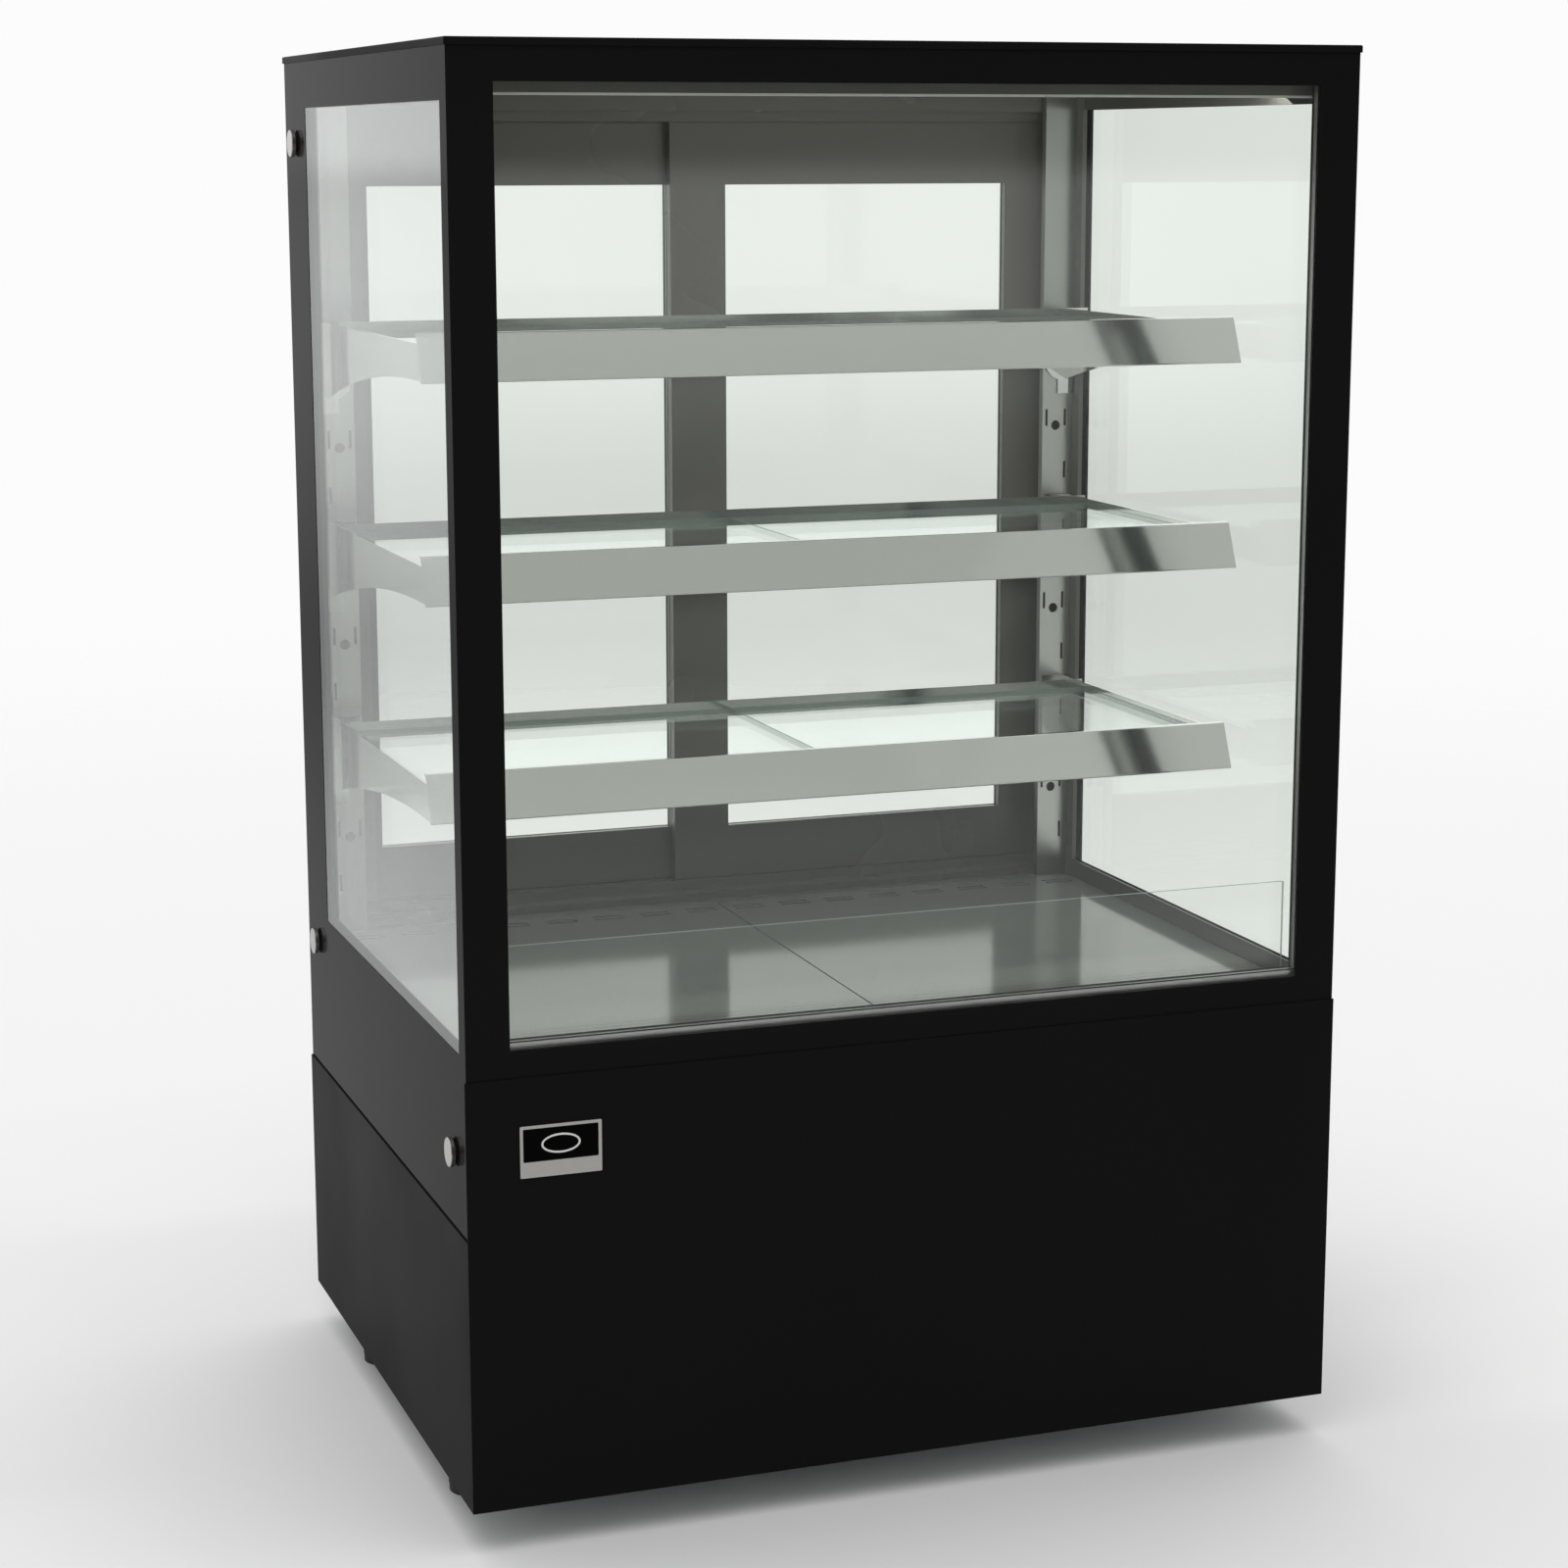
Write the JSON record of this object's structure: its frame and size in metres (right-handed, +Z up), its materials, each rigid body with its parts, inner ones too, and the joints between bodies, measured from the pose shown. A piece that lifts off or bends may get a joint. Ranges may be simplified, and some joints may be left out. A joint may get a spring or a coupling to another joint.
{
  "type": "bakery display case",
  "caption": "Upright refrigerated bakery display case with a glazed front and sides, glass shelves, a steel deck and sliding rear doors.",
  "frame": {"origin": "on the floor, under the middle of the case", "axes": "+Z up, +X to the right as a customer sees the case, -Y towards the customer, +Y towards the service side"},
  "size_m": [0.9102, 0.7064, 1.4],
  "materials": {
    "black_panel": "satin",
    "black_print": "gloss",
    "clear_glass": "polished",
    "shelf_glass": "polished",
    "door_glass": "polished",
    "stainless": "brushed",
    "deck_steel": "polished",
    "dark_frame": "painted satin",
    "frosted_lens": "frosted",
    "spacer_bar": "satin",
    "badge": "brushed",
    "rubber_foot": "matt",
    "galvanised": "galvanised",
    "tub_skin": "foam-filled",
    "roof_black": "painted satin",
    "ceiling_skin": "foam-filled",
    "grille_steel": "satin",
    "screw_steel": "bright",
    "black_plastic": "moulded",
    "fan_plastic": "moulded",
    "compressor_shell": "gloss",
    "coil_fins": "plain",
    "copper": "drawn"
  },
  "bodies": {
    "cabinet": {"badge_plate": "badge", "base_pan": "galvanised", "cable_gland": "black_plastic", "ceiling_liner": "ceiling_skin", "compressor": "compressor_shell", "compressor_mounts": "rubber_foot", "condenser_coil": "coil_fins", "condenser_fan_plate": "galvanised", "control_panel": "black_plastic", "corner_posts": "galvanised", "door_tracks": "dark_frame", "drain_pan": "galvanised", "evaporator_coil": "coil_fins", "evaporator_fan_plate": "galvanised", "front_pane_inner": "clear_glass", "front_pane_outer": "clear_glass", "front_panel": "black_panel", "front_spacer": "spacer_bar", "glass_knobs": "stainless", "glass_rails": "galvanised", "grille_screws": "screw_steel", "inner_lips": "dark_frame", "insulated_tub": "tub_skin", "lamp_body": "dark_frame", "lamp_diffuser": "frosted_lens", "left_base_panel": "black_panel", "left_side_glass": "clear_glass", "printed_borders": "black_print", "rear_frame": "dark_frame", "rear_grille": "grille_steel", "refrigerant_pipes": "copper", "right_base_panel": "black_panel", "right_side_glass": "clear_glass", "riser_channel": "stainless", "riser_glass": "clear_glass", "roof_panel": "roof_black", "temperature_controller": "black_plastic", "uprights": "stainless"},
    "door_left": {"door_left_frame": "dark_frame", "door_left_glass": "door_glass", "door_left_pull": "black_plastic"},
    "door_right": {"door_right_frame": "dark_frame", "door_right_glass": "door_glass", "door_right_pull": "black_plastic"},
    "shelf_1": {"shelf_1_frame": "stainless", "shelf_1_glass": "shelf_glass"},
    "shelf_2": {"shelf_2_frame": "stainless", "shelf_2_glass": "shelf_glass"},
    "shelf_3": {"shelf_3_frame": "stainless", "shelf_3_glass": "shelf_glass"},
    "deck_left": {"deck_tray_left": "deck_steel"},
    "deck_right": {"deck_tray_right": "deck_steel"},
    "foot_front_left": {"foot_front_left": "rubber_foot"},
    "foot_front_right": {"foot_front_right": "rubber_foot"},
    "foot_rear_left": {"foot_rear_left": "rubber_foot"},
    "foot_rear_right": {"foot_rear_right": "rubber_foot"},
    "condenser_fan": {"condenser_fan": "fan_plastic"},
    "evaporator_fan": {"evaporator_fan": "fan_plastic"},
    "power_rocker": {"power_rocker": "black_plastic"},
    "light_rocker": {"light_rocker": "black_plastic"}
  },
  "joints": [
    {"name": "door_left_slide", "type": "slide", "parent": "cabinet", "child": "door_left", "axis": [1, 0, 0], "range_m": [0, 0.395]},
    {"name": "door_right_slide", "type": "slide", "parent": "cabinet", "child": "door_right", "axis": [1, 0, 0], "range_m": [-0.395, 0]},
    {"name": "shelf_1_lift", "type": "slide", "parent": "cabinet", "child": "shelf_1", "axis": [0, 0, 1], "range_m": [0, 0.0065]},
    {"name": "shelf_2_lift", "type": "slide", "parent": "cabinet", "child": "shelf_2", "axis": [0, 0, 1], "range_m": [0, 0.0065]},
    {"name": "shelf_3_lift", "type": "slide", "parent": "cabinet", "child": "shelf_3", "axis": [0, 0, 1], "range_m": [0, 0.0065]},
    {"name": "deck_left_lift", "type": "slide", "parent": "cabinet", "child": "deck_left", "axis": [0, 0, 1], "range_m": [0, 0.12]},
    {"name": "deck_right_lift", "type": "slide", "parent": "cabinet", "child": "deck_right", "axis": [0, 0, 1], "range_m": [0, 0.12]},
    {"name": "foot_front_left_level", "type": "slide", "parent": "cabinet", "child": "foot_front_left", "axis": [0, 0, -1], "range_m": [0, 0.012]},
    {"name": "foot_front_right_level", "type": "slide", "parent": "cabinet", "child": "foot_front_right", "axis": [0, 0, -1], "range_m": [0, 0.012]},
    {"name": "foot_rear_left_level", "type": "slide", "parent": "cabinet", "child": "foot_rear_left", "axis": [0, 0, -1], "range_m": [0, 0.012]},
    {"name": "foot_rear_right_level", "type": "slide", "parent": "cabinet", "child": "foot_rear_right", "axis": [0, 0, -1], "range_m": [0, 0.012]},
    {"name": "condenser_fan_spin", "type": "hinge", "parent": "cabinet", "child": "condenser_fan", "pos_m": [-0.1991, 0.2685, 0.132], "axis": [0, 1, 0], "continuous": true},
    {"name": "evaporator_fan_spin", "type": "hinge", "parent": "cabinet", "child": "evaporator_fan", "pos_m": [-0.0191, 0.04, 0.36], "axis": [0, 1, 0], "continuous": true},
    {"name": "power_switch", "type": "hinge", "parent": "cabinet", "child": "power_rocker", "pos_m": [0.2291, 0.346, 0.375], "axis": [1, 0, 0], "range_deg": [-16, 0]},
    {"name": "light_switch", "type": "hinge", "parent": "cabinet", "child": "light_rocker", "pos_m": [0.2631, 0.346, 0.375], "axis": [1, 0, 0], "range_deg": [-16, 0]}
  ]
}
